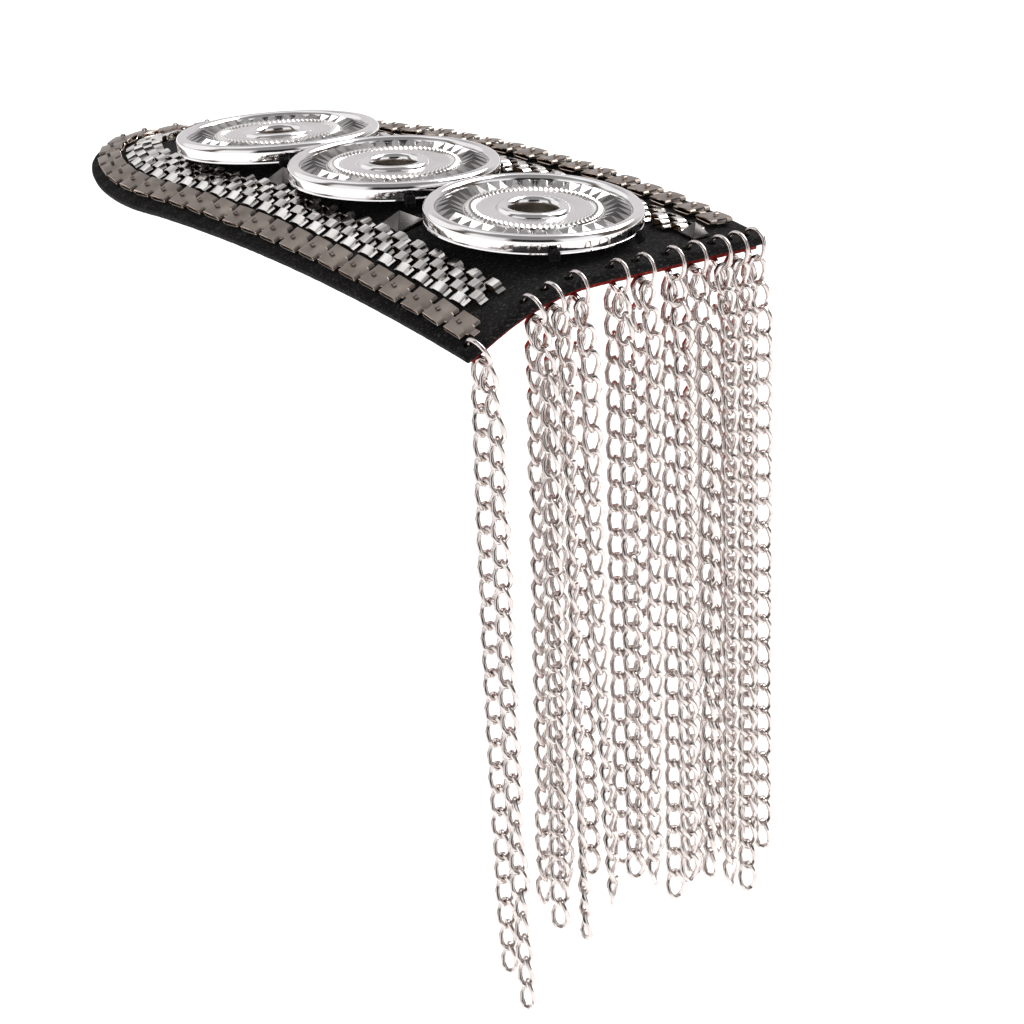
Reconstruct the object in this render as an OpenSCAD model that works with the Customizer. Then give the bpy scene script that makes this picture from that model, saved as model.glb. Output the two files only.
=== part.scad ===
// Chain-fringed shoulder epaulette: a felt board with two borders of chain,
// three pressed discs down its middle, and a fringe of curb chain at the wide end.
// +X runs along the board towards the fringe, -Y is its drooping front side, +Z is up.
// Places on the board are given along the felt: s along it, y across it, h above its top.

/* [Board] */
// Length of the felt from the middle disc to the fringe end
front_reach = 72; // [68:1:84]
// Length of the felt from the middle disc to where the neck end starts to round
neck_start = 48; // [44:1:60]
// How far the rounded neck end reaches past its start
neck_reach = 54; // [46:1:62]
// Half of the felt's width where the neck end starts to round
neck_half_w = 31.7; // [30:0.1:38]
// Half of the felt's width at the fringe end
end_half_w = 38.5; // [35:0.5:44]
// Half of the felt's width on the back side, where it is widest
back_half_w = 40; // [36:0.5:44]
// Distance from the middle disc to where the back side is widest
widest_s = 20; // [0:1:40]
// Thickness of the black felt
felt_t = 1.8; // [1.4:0.1:2.6]
// Thickness of the red backing felt
backing_t = 1; // [0.8:0.1:1.6]
// How far the backing stays inside the black felt's edge
backing_inset = 1.3; // [0.5:0.1:1.4]
// Radius of the long bend over the shoulder
long_bend_r = 720; // [500:10:1200]
// Half width of the flat strip under the discs
flat_half_w = 4; // [3:0.5:8]
// Radius to which the front side droops
droop_r = 52; // [46:1:70]
// Steepest slope of the front side in degrees, from where it is straight
droop_max = 28; // [24:1:34]

/* [Discs] */
// Diameter of each disc
disc_d = 44; // [40:0.5:44.5]
// Gap between two discs
disc_gap = 0.6; // [0.4:0.1:2]
// Height of a disc from its foot to the top of its rim
disc_h = 3.8; // [3.6:0.1:5]
// Depth of the sunk ring's floor below the top of the rim
floor_drop = 1.25; // [1.15:0.05:2.2]
// Depth of the satin flat below the top of the rim
flat_drop = 0.9; // [0.7:0.1:1.4]
// Depth of the milled ring's top below the top of the rim
milled_drop = 0.3; // [0.1:0.1:0.6]
// Depth of the collar's top below the top of the rim
collar_drop = 0.2; // [0.1:0.1:0.6]
// Width of the rounded outer rim
rim_w = 2.7; // [2.2:0.1:3.2]
// Diameter of the hole through the middle
hole_d = 9.7; // [8:0.1:11]
// Width of the rounded collar about the hole
collar_w = 2.6; // [2:0.1:3]
// Width of the milled ring between the flat and the pyramids
milled_w = 2.7; // [2:0.1:3]
// Outer diameter of the milled ring
milled_d = 27.8; // [26:0.1:29]
// Number of pyramids in the sunk ring
pyramid_count = 36; // [24:1:40]
// Height of a pyramid
pyramid_h = 1.2; // [0.8:0.1:1.4]
// Thickness of the pressed metal
disc_wall = 0.9; // [0.7:0.1:1.2]

/* [Plate chain] */
// Distance from the felt's edge to the plate chain
plate_inset = 2.4; // [1:0.1:3]
// Length of one folded plate along the chain
plate_l = 6.8; // [6:0.1:6.9]
// Width of a plate across the chain
plate_w = 5.2; // [4.5:0.1:5.6]
// Height of a plate's raised back fold
plate_h = 1.9; // [1.7:0.1:2.4]
// Thickness of the plate's strip
plate_wall = 0.36; // [0.3:0.02:0.4]
// Gap between two plates that are drawn together
plate_gap = 0.55; // [0.5:0.05:0.7]
// Extra gap where a stitch holds the chain down, after every third plate
stitch_gap = 0.5; // [0:0.05:0.6]
// Width of the tongue that hooks into the next plate
tongue_w = 1.6; // [1.2:0.1:1.8]

/* [Mesh chain] */
// Gap between the plate chain and the mesh chain
mesh_gap = 1.4; // [0.8:0.1:1.8]
// Width of the mesh chain
mesh_w = 8; // [7:0.1:8.4]
// Thickness of the mesh chain
mesh_t = 2; // [1.6:0.1:2.6]
// Length of one mesh link along the chain
mesh_pitch = 6.5; // [5:0.1:8]
// Number of rows of links across the mesh
mesh_rows = 4; // [3:1:5]
// How far the mesh chain stops short of the fringe end, which leaves room for the corner stud
mesh_end = 9.6; // [8.6:0.1:13]

/* [Studs] */
// Side of a pyramid stud's square base
stud_a = 6.6; // [5:0.1:7]
// Height of a pyramid stud
stud_h = 3.2; // [2:0.1:4]
// Side of the smaller stud at the back corner
corner_stud_a = 4.2; // [3:0.1:4.3]
// Height of the smaller stud
corner_stud_h = 3; // [2:0.1:4]

/* [Fringe] */
// Outer diameter of a jump ring
ring_d = 7.1; // [6.6:0.1:7.4]
// Wire of a jump ring
ring_wire = 0.9; // [0.7:0.05:1]
// Distance from the fringe end to the holes for the rings
hole_in = 2.6; // [2.5:0.1:3.2]
// Diameter of the holes for the rings
ring_hole_d = 2; // [2:0.1:2.4]
// Outer width of a fringe chain
strand_d = 4; // [3.2:0.1:4.2]
// Distance between the two chains that hang from one ring, along the board
strand_pair = 4.5; // [4.5:0.1:4.8]
// How far towards the back the chains hang from the middle of their ring
strand_side = 0.8; // [0:0.1:1]

/* [Pin] */
// Length of the brooch bar under the board
pin_l = 34; // [24:1:50]
// Width of the brooch bar's plate
pin_w = 5; // [4:0.5:8]
// Thickness of the brooch bar's plate
pin_plate_t = 0.8; // [0.6:0.1:1.5]
// Diameter of the brooch pin's wire
pin_wire = 1.2; // [1:0.1:1.6]
// Clear height between the plate and the pin
pin_clear = 2.2; // [1.5:0.1:4]

/* [Hidden] */
$fn = 48;

// Clearances between pieces that lie on each other, and between loose links
lay_gap = 0.15;
link_gap = 0.12;

// Where the discs sit: place along the felt in disc spacings, and place across
DISC_STEP = 0;
DISC_Y = 1;
DISC_ROWS = [
    [-1, 0.9],
    [0, -0.6],
    [1, 0.7]];

// Places across the felt of the jump rings, from the front corner to the back one, as shares
// of the felt's half width at the fringe end on that side
RING_SHARES = [-0.925, -0.553, -0.421, -0.265, -0.005, 0.166, 0.364, 0.514, 0.678, 0.794, 0.91];

// The fringe chains, two to a ring: length from the ring down, and drift of the free end
// along X and Y. The first of a pair hangs on the outer side of its ring.
STRAND_L = 0;
STRAND_DX = 1;
STRAND_DY = 2;
STRAND_ROWS = [
    [133, 1.8, 3], [127, 1.2, 2.4],
    [124.5, 0, 0], [121, 0, -0.3],
    [129.7, 0.9, 1.3], [122, 0, 0.5],
    [125, 1.6, 2.6], [120, 0.8, 1],
    [122, 0, 0], [120.5, 0.4, 0],
    [125, -0.4, -1.2], [123, 0, -0.5],
    [127, 0.2, 0.3], [133, 0, 0.4],
    [127.8, 0, 0.4], [129.3, 0, 0],
    [131.5, 0, -0.2], [126, 0, 0],
    [134, 0, 0], [127, 0, 0.2],
    [125.5, 0, -0.1], [128, 0, 0]];
strand_sides = 8;

top_z = backing_t + lay_gap + felt_t;
board_t = top_z;
disc_step = disc_d + disc_gap;
disc_seat = mesh_t + lay_gap;
plate_pitch = plate_l + plate_gap;
plate_line = plate_inset + plate_w / 2;
mesh_line = plate_inset + plate_w + mesh_gap + mesh_w / 2;
ring_r = (ring_d - ring_wire) / 2;
ring_lift = 0.4;
ring_h = ring_lift - board_t / 2;
ring_bow = 0.3;
ring_s = front_reach - hole_in + ring_r - ring_bow;

// The board's surface: a strip that is flat across in the middle and droops on the front side,
// bent along its length over a large radius
droop_arc = droop_r * droop_max * PI / 180;
function past_flat(y) = max(0, -y - flat_half_w);
function past_arc(y) = max(0, past_flat(y) - droop_arc);
function droop(y) = min(droop_max, past_flat(y) / droop_r * 180 / PI);
function across(y) = y > -flat_half_w ? y
    : -flat_half_w - droop_r * sin(droop(y)) - past_arc(y) * cos(droop(y));
function sunk(y) = droop_r * (1 - cos(droop(y))) + past_arc(y) * sin(droop(y));
function along(s) = s / long_bend_r * 180 / PI;
function lift(y, h) = long_bend_r - sunk(y) + h * cos(droop(y));
function on_felt(s, y, h) = [
    lift(y, h) * sin(along(s)),
    across(y) - h * sin(droop(y)),
    lift(y, h) * cos(along(s)) - long_bend_r + top_z];

module seat(s, y, h = 0, heading = 0)
    translate(on_felt(s, y, h))
        rotate([0, along(s), 0])
            rotate([droop(y), 0, 0])
                rotate([0, 0, heading])
                    children();

// The felt's outline, moved in by m: the front side is a half ellipse and a straight line,
// and the back side is one long oval
side_slope = (end_half_w - neck_half_w) / (front_reach + neck_start);
function side_y(s, m) = neck_half_w - m + (s + neck_start) * side_slope;
function neck_point(a, m) = [
    -neck_start - (neck_reach - m) * cos(a),
    -(neck_half_w - m) * sin(a)];
oval_power = 2.4;
function oval_l(m) = widest_s + neck_start + neck_reach - m;
function oval_y(s, m) =
    (back_half_w - m) * pow(1 - pow(abs(s - widest_s) / oval_l(m), oval_power), 1 / oval_power);
function oval_point(a, m) = [
    widest_s - sign(cos(a)) * oval_l(m) * pow(abs(cos(a)), 2 / oval_power),
    (back_half_w - m) * pow(sin(a), 2 / oval_power)];
function oval_end(s, m) = 90 + asin(pow((s - widest_s) / oval_l(m), oval_power / 2));

// A line round the board at m from its edge, from the back corner round the neck to the front
oval_steps = 60;
neck_steps = 24;
function border(m, back_stop, front_stop) = concat(
    [for (i = [oval_steps:-1:1])
        oval_point(i / oval_steps * oval_end(front_reach - back_stop, m), m)],
    [for (i = [0:neck_steps]) neck_point(90 * i / neck_steps, m)],
    [[front_reach - front_stop, -side_y(front_reach - front_stop, m)]]);
function lengths(line) = [
    for (i = 0, run = 0; i < len(line);
        run = run + (i < len(line) - 1 ? norm(line[i + 1] - line[i]) : 0), i = i + 1) run];
function column(run, line, k) = [for (i = [0:len(line) - 1]) [run[i], line[i][k]]];
function last(list) = list[len(list) - 1];

// A closed skin through equal rows of points
function skin_sides(rows, n) = [
    for (i = [0:rows - 2], j = [0:n - 1])
        [i * n + j, i * n + (j + 1) % n, (i + 1) * n + (j + 1) % n, (i + 1) * n + j]];
function skin_ends(rows, n) = [
    [for (j = [n - 1:-1:0]) j],
    [for (j = [0:n - 1]) (rows - 1) * n + j]];
module skin(sections) {
    rows = len(sections);
    n = len(sections[0]);
    polyhedron(
        [for (section = sections, p = section) p],
        concat(skin_sides(rows, n), skin_ends(rows, n)),
        convexity = 8);
}

// One layer of felt: rows of points across the board, closed at both ends by strips
neck_angles = [4, 10, 18, 27, 37, 48, 60, 75];
side_steps = 7;
across_places = [-0.26, -0.42, -0.58, -0.72, -0.86, -1];
flat_share = 0.125;
function row_places(m) = concat(
    [for (a = neck_angles)
        let (p = neck_point(a, m))
        [p[0], -p[1], oval_y(p[0], m)]],
    [for (i = [0:side_steps])
        let (s = -neck_start + (front_reach - m + neck_start) * i / side_steps)
        [s, side_y(s, m), oval_y(s, m)]]);
function across_row(w, w_back) = concat(
    [w_back, -min(flat_half_w, flat_share * w)],
    [for (k = across_places) w * k]);
function felt_row(s, row, h_top, h_low) = concat(
    [for (y = row) on_felt(s, y, h_low)],
    [for (j = [len(row) - 1:-1:0]) on_felt(s, row[j], h_top)]);
module felt_layer(m, h_top, t) {
    places = row_places(m);
    rows = len(places);
    half = len(across_places) + 2;
    n = 2 * half;
    polyhedron(
        [for (p = places, q = felt_row(p[0], across_row(p[1], p[2]), h_top, h_top - t)) q],
        concat(skin_sides(rows, n),
            [for (j = [0:half - 2]) [n - 1 - j, n - 2 - j, j + 1, j]],
            [for (j = [0:half - 2])
                [(rows - 1) * n + j, (rows - 1) * n + j + 1,
                    (rows - 1) * n + n - 2 - j, (rows - 1) * n + n - 1 - j]]),
        convexity = 8);
}

ring_y = [for (share = RING_SHARES)
    share * (share < 0 ? side_y(front_reach, 0) : oval_y(front_reach, 0))];
module ring_holes()
    for (y = ring_y)
        seat(front_reach - hole_in, y, -board_t / 2)
            cylinder(d = ring_hole_d, h = 2 * board_t, center = true);

module felt_board()
    color("black")
        difference() {
            felt_layer(0, 0, felt_t);
            ring_holes();
        }

module backing_felt()
    color("firebrick")
        difference() {
            felt_layer(backing_inset, -felt_t - lay_gap, backing_t);
            ring_holes();
        }

// A pressed disc: rounded rim, sunk ring of pyramids, milled ring, flat, collar and hole.
// Its side wall stands side_in inside the rim, and things set into it sink a little.
side_in = 0.15;
foot_w = 1.5;
sink = 0.1;
module disc() {
    r = disc_d / 2;
    rim_r = rim_w / 2;
    foot_r = r - side_in;
    floor_top = disc_h - floor_drop;
    flat_top = disc_h - flat_drop;
    milled_r = milled_d / 2;
    pyramid_in = milled_r;
    pyramid_l = r - rim_w - milled_r;
    pyramid_w = 2 * pyramid_in * tan(180 / pyramid_count) - sink;
    collar_r = hole_d / 2 + collar_w / 2;
    rotate_extrude() {
        translate([r - rim_r, disc_h - rim_r])
            circle(rim_r);
        polygon([
            [foot_r - foot_w, 0], [foot_r, 0], [foot_r, disc_h - rim_r - sink],
            [r - rim_r, disc_h - rim_r], [r - rim_w, disc_h - rim_r],
            [r - rim_w, floor_top - disc_wall]]);
        translate([collar_r, floor_top - disc_wall])
            square([r - rim_r - collar_r, disc_wall]);
        translate([collar_r, floor_top - disc_wall])
            square([milled_r - milled_w / 2 - collar_r, flat_top - floor_top + disc_wall]);
        translate([milled_r - milled_w / 2, disc_h - milled_drop - milled_w / 2])
            circle(milled_w / 2);
        translate([collar_r, disc_h - collar_drop - collar_w / 2])
            circle(collar_w / 2);
        translate([hole_d / 2, 0])
            square([disc_wall, disc_h - collar_drop - collar_w / 2]);
    }
    for (i = [0:pyramid_count - 1])
        rotate([0, 0, i * 360 / pyramid_count])
            translate([pyramid_in - sink, 0, floor_top - sink])
                rotate([90, 0, 90])
                    linear_extrude(pyramid_l + 2 * sink)
                        polygon([[-pyramid_w / 2, 0], [pyramid_w / 2, 0], [0, pyramid_h + sink]]);
}

module seated_disc(k)
    color("silver")
        seat(DISC_ROWS[k][DISC_STEP] * disc_step, 0, disc_seat)
            translate([0, DISC_ROWS[k][DISC_Y], 0])
                disc();

module disc_neck() seated_disc(0);
module disc_middle() seated_disc(1);
module disc_fringe() seated_disc(2);

// The plate's side view, from its back fold over the top to the front and back underneath:
// places along as shares of half its length, heights as shares of its height
PLATE_SIDE = [
    [-1, 0.55], [-0.91, 0.9], [-0.765, 1],
    [0.824, 0.71], [1, 0.525], [0.853, 0.21], [0.53, 0.063],
    [-0.56, 0.063], [-0.88, 0.237]];
PLATE_LOW = 6;
fold_sink = 0.06;
slot_play = 0.35;
slot_reach = 1.1;
bar_l = 0.5;
tongue_t = 0.4;
tongue_sink = 0.45;

// One folded plate: a flattened tube, open at the chain's two edges, with a slot in its raised
// back fold and a tee-shaped tongue in front that lies inside the next plate
module plate() {
    a = plate_l / 2;
    low = plate_h * PLATE_SIDE[PLATE_LOW][1];
    mid = plate_h * PLATE_SIDE[0][1];
    lens = [for (p = PLATE_SIDE) [p[0] * a, p[1] * plate_h]];
    shrink = 1 - plate_wall / (mid - low);
    hollow = [for (p = lens) [p[0] * (a - plate_wall) / a, mid - fold_sink + (p[1] - mid) * shrink]];
    slot_w = tongue_w + 2 * slot_play;
    slot_l = plate_wall + slot_reach;
    reach = plate_gap + plate_wall + stitch_gap + 2 * link_gap;
    bar_w = slot_w + 2 * slot_play;
    tongue_z = mid - tongue_sink;
    difference() {
        rotate([90, 0, 0])
            linear_extrude(plate_w, center = true)
                difference() {
                    polygon(lens);
                    polygon(hollow);
                }
        translate([-a - plate_wall, -slot_w / 2, low + plate_wall])
            cube([plate_wall + slot_l, slot_w, plate_h]);
    }
    translate([a - plate_wall, -tongue_w / 2, tongue_z])
        cube([plate_wall + reach + bar_l, tongue_w, tongue_t]);
    translate([a + reach, -bar_w / 2, tongue_z])
        cube([bar_l, bar_w, tongue_t]);
}

plate_back_stop = hole_in + ring_wire / 2 + bar_l;
plate_front_stop = 3.1;
plate_path = border(plate_line, plate_back_stop, plate_front_stop);
plate_run = lengths(plate_path);
plate_s = column(plate_run, plate_path, 0);
plate_y = column(plate_run, plate_path, 1);
function plate_at(i) = last(plate_run) - plate_l / 2 - i * plate_pitch - floor(i / 3) * stitch_gap;
function on_border(s_list, y_list, t) = [lookup(t, s_list), lookup(t, y_list)];
plate_count = floor((last(plate_run) - plate_l) / (plate_pitch + stitch_gap / 3)) + 1;
module plate_chain()
    color("gray")
        for (i = [0:plate_count - 1]) {
            back = on_border(plate_s, plate_y, plate_at(i) - plate_l / 2);
            front = on_border(plate_s, plate_y, plate_at(i) + plate_l / 2);
            middle = (back + front) / 2;
            seat(middle[0], middle[1], lay_gap, atan2(front[1] - back[1], front[0] - back[0]))
                plate();
        }

// The mesh chain as one band, with its rows of links in brick pattern as raised relief
mesh_path = border(mesh_line, mesh_end, mesh_end);
mesh_run = lengths(mesh_path);
mesh_s = column(mesh_run, mesh_path, 0);
mesh_y = column(mesh_run, mesh_path, 1);
mesh_links = floor(last(mesh_run) / mesh_pitch);
mesh_relief = 0.45;
mesh_side = 0.3;
mesh_under = 1;
mesh_step = 0.12;
mesh_trim = 0.003;
look = 0.5;
function mesh_frame(t) = let (
    p = on_border(mesh_s, mesh_y, t),
    q = on_border(mesh_s, mesh_y, t + look),
    o = on_border(mesh_s, mesh_y, t - look),
    d = (q - o) / norm(q - o))
    [p, [-d[1], d[0]]];
function mesh_top(i, k) = (i + k) % 2 == 0 ? mesh_t : mesh_t - mesh_relief;
function mesh_row(t, i) = let (
    f = mesh_frame(t),
    row_w = mesh_w / mesh_rows,
    tops = [for (k = [0:mesh_rows - 1], e = [0, 1])
        [mesh_w / 2 - (k + (e == 0 ? mesh_step : 1 - mesh_step)) * row_w, mesh_top(i, k)]],
    section = concat([[mesh_w / 2, lay_gap + mesh_side]], tops,
        [[-mesh_w / 2, lay_gap + mesh_side], [-mesh_w / 2 + mesh_under, lay_gap],
            [mesh_w / 2 - mesh_under, lay_gap]]))
    [for (c = section) on_felt(f[0][0] + c[0] * f[1][0], f[0][1] + c[0] * f[1][1], c[1])];
module mesh_chain()
    color("silver")
        skin([for (i = [0:2 * mesh_links])
            mesh_row(last(mesh_run) * (mesh_trim + (1 - 2 * mesh_trim) * i / (2 * mesh_links)), i)]);

// A square pyramid stud on a low foot
foot = 0.6;
module stud(side, h) {
    a = side / 2;
    polyhedron(
        [[-a, -a, 0], [a, -a, 0], [a, a, 0], [-a, a, 0],
            [-a, -a, foot], [a, -a, foot], [a, a, foot], [-a, a, foot], [0, 0, h]],
        [[0, 1, 2, 3], [4, 5, 1, 0], [5, 6, 2, 1], [6, 7, 3, 2], [7, 4, 0, 3],
            [8, 5, 4], [8, 6, 5], [8, 7, 6], [8, 4, 7]]);
}
// The studs in the gaps between the discs lie against the mesh chain
stud_s = disc_step / 2;
mesh_inner = mesh_line + mesh_w / 2;
stud_room = stud_a / 2 + 2 * lay_gap;
module gap_stud(s, y)
    color("gray")
        seat(s, y, lay_gap)
            stud(stud_a, stud_h);
module stud_front_neck() gap_stud(-stud_s, stud_room - side_y(-stud_s, mesh_inner));
module stud_front_fringe() gap_stud(stud_s, stud_room - side_y(stud_s, mesh_inner));
module stud_back_neck() gap_stud(-stud_s, oval_y(-stud_s - stud_a / 2, mesh_inner) - stud_room);
module stud_back_fringe() gap_stud(stud_s, oval_y(stud_s, mesh_inner) - stud_room);
corner_stud_in = 0.3;
module stud_corner() {
    s = front_reach - mesh_end + lay_gap + corner_stud_a / 2;
    color("gray")
        seat(s, oval_y(s, mesh_line) - corner_stud_in, lay_gap)
            stud(corner_stud_a, corner_stud_h);
}

module jump_rings()
    color("silver")
        for (y = ring_y)
            seat(ring_s, y, ring_h)
                rotate([90, 0, 0])
                    rotate_extrude()
                        translate([ring_r, 0])
                            circle(d = ring_wire, $fn = 24);

// A fringe chain's outer form: a round tube from just under its ring to its free end
function strand_ring(p) = [
    for (i = [0:strand_sides - 1])
        [p[0] + strand_d / 2 * cos(360 * i / strand_sides),
            p[1] - strand_d / 2 * sin(360 * i / strand_sides), p[2]]];
module strand(n) {
    row = STRAND_ROWS[n];
    y = ring_y[floor(n / 2)];
    side = n % 2 == 0 ? 1 : -1;
    hang = on_felt(ring_s + side * strand_pair / 2, y, ring_h - ring_r);
    top = hang + [0, strand_side, -ring_wire / 2 - lay_gap];
    drop = [row[STRAND_DX], row[STRAND_DY], -row[STRAND_L]];
    color("silver")
        skin([for (t = [0, 0.5, 1])
            strand_ring([top[0] + drop[0] * t * t, top[1] + drop[1] * t * t, top[2] + drop[2] * t])]);
}

// The brooch bar under the middle: a plate against the backing, and a pin held between two ears
ear_t = 1.6;
module brooch_bar() {
    drop = pin_plate_t + pin_clear + pin_wire;
    color("silver")
        translate([0, 0, on_felt(pin_l / 2, 0, -board_t)[2] - lay_gap]) {
            translate([-pin_l / 2, -pin_w / 2, -pin_plate_t])
                cube([pin_l, pin_w, pin_plate_t]);
            for (side = [-1, 1])
                translate([side * (pin_l / 2 - ear_t) - ear_t / 2, -pin_wire, -drop])
                    cube([ear_t, 2 * pin_wire, drop]);
            translate([-pin_l / 2 + ear_t, 0, -pin_plate_t - pin_clear - pin_wire / 2])
                rotate([0, 90, 0])
                    cylinder(d = pin_wire, h = pin_l - 2 * ear_t, $fn = 32);
        }
}

felt_board();
backing_felt();
plate_chain();
mesh_chain();
disc_neck();
disc_middle();
disc_fringe();
stud_front_neck();
stud_front_fringe();
stud_back_neck();
stud_back_fringe();
stud_corner();
jump_rings();
brooch_bar();
strand(0);  // strand_01
strand(1);  // strand_02
strand(2);  // strand_03
strand(3);  // strand_04
strand(4);  // strand_05
strand(5);  // strand_06
strand(6);  // strand_07
strand(7);  // strand_08
strand(8);  // strand_09
strand(9);  // strand_10
strand(10);  // strand_11
strand(11);  // strand_12
strand(12);  // strand_13
strand(13);  // strand_14
strand(14);  // strand_15
strand(15);  // strand_16
strand(16);  // strand_17
strand(17);  // strand_18
strand(18);  // strand_19
strand(19);  // strand_20
strand(20);  // strand_21
strand(21);  // strand_22
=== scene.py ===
# %% [markdown]
# # A shoulder epaulette with a fringe of chain
# The real thing is a sewn one: a black felt board over red felt, two borders of chain, three
# pressed metal discs, a few pyramid studs, and pairs of curb chain that hang from jump rings.
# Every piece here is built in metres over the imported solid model, which sets all the places.

# %% Load the solid model
import math
import random

import bmesh
import bpy
from mathutils import Matrix, Vector


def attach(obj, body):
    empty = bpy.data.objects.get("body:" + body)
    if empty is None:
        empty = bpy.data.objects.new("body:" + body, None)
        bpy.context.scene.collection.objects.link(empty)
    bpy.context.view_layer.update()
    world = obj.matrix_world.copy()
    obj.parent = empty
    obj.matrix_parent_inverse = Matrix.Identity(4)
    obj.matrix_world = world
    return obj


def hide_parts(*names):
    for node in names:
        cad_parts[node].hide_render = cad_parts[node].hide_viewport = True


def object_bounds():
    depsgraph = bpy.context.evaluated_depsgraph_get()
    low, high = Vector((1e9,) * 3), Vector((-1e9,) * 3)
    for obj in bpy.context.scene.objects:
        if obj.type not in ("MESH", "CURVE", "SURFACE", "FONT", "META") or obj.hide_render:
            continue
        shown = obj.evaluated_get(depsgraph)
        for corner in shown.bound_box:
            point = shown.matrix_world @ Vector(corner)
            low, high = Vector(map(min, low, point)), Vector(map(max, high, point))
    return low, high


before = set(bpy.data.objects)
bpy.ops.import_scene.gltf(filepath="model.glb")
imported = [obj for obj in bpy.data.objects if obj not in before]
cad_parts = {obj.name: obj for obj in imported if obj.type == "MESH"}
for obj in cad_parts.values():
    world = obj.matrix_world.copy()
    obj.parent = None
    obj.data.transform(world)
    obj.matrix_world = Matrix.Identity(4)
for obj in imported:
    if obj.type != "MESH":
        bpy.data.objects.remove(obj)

cad_low, cad_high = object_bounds()
MM = 0.001
size_mm = [round(side / MM, 1) for side in cad_high - cad_low]
print("solid model:", len(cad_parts), "nodes,", size_mm, "mm")

# %% [markdown]
# ## The camera
# The photograph was taken from a little above the board's front corner, on a long lens, which
# keeps the near and far chains of the fringe almost the same size. The camera looks down by
# about nineteen degrees, so the pale floor fills the whole background.

# %% Camera
camera_place = Vector((572.7, -409.3, 176.66)) * MM
camera_aim = Vector((-0.75056, 0.5727, -0.32965)).normalized()
camera_roll = math.radians(-1.435)
camera_lens = 122.88

camera = bpy.data.objects.new("photo_camera", bpy.data.cameras.new("photo_camera"))
camera.data.lens = camera_lens
camera.data.clip_start = 0.05
camera.data.clip_end = 20
camera.matrix_world = (
    Matrix.Translation(camera_place)
    @ camera_aim.to_track_quat("-Z", "Y").to_matrix().to_4x4()
    @ Matrix.Rotation(camera_roll, 4, "Z")
)
bpy.context.scene.collection.objects.link(camera)
bpy.context.scene.camera = camera
bpy.context.scene.view_settings.view_transform = "Standard"
print("camera looks down by", round(math.degrees(math.asin(-camera_aim.z)), 1), "degrees")

# %% [markdown]
# ## Writing shaders as sums
# A finish is easier to read as a formula than as a drawing of boxes and wires. A `Wire` is one
# output of a shader node, and the signs + - * / on it add Math nodes. A `Finish` holds the node
# tree: its `node` method adds any other node, settings first and sockets after.

# %% Shader helpers
class Wire:
    """One output socket, on which sums can be written."""

    def __init__(self, finish, socket):
        self.finish = finish
        self.socket = socket

    def sum(self, operation, *values):
        """The output of one Math node."""
        return self.finish.node("ShaderNodeMath", {"operation": operation}, dict(enumerate(values)))

    def __add__(self, other):
        return self.sum("ADD", self, other)

    def __radd__(self, other):
        return self.sum("ADD", other, self)

    def __sub__(self, other):
        return self.sum("SUBTRACT", self, other)

    def __rsub__(self, other):
        return self.sum("SUBTRACT", other, self)

    def __mul__(self, other):
        return self.sum("MULTIPLY", self, other)

    def __rmul__(self, other):
        return self.sum("MULTIPLY", other, self)

    def __truediv__(self, other):
        return self.sum("DIVIDE", self, other)

    def to_power(self, exponent):
        return self.sum("POWER", self, exponent)


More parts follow.
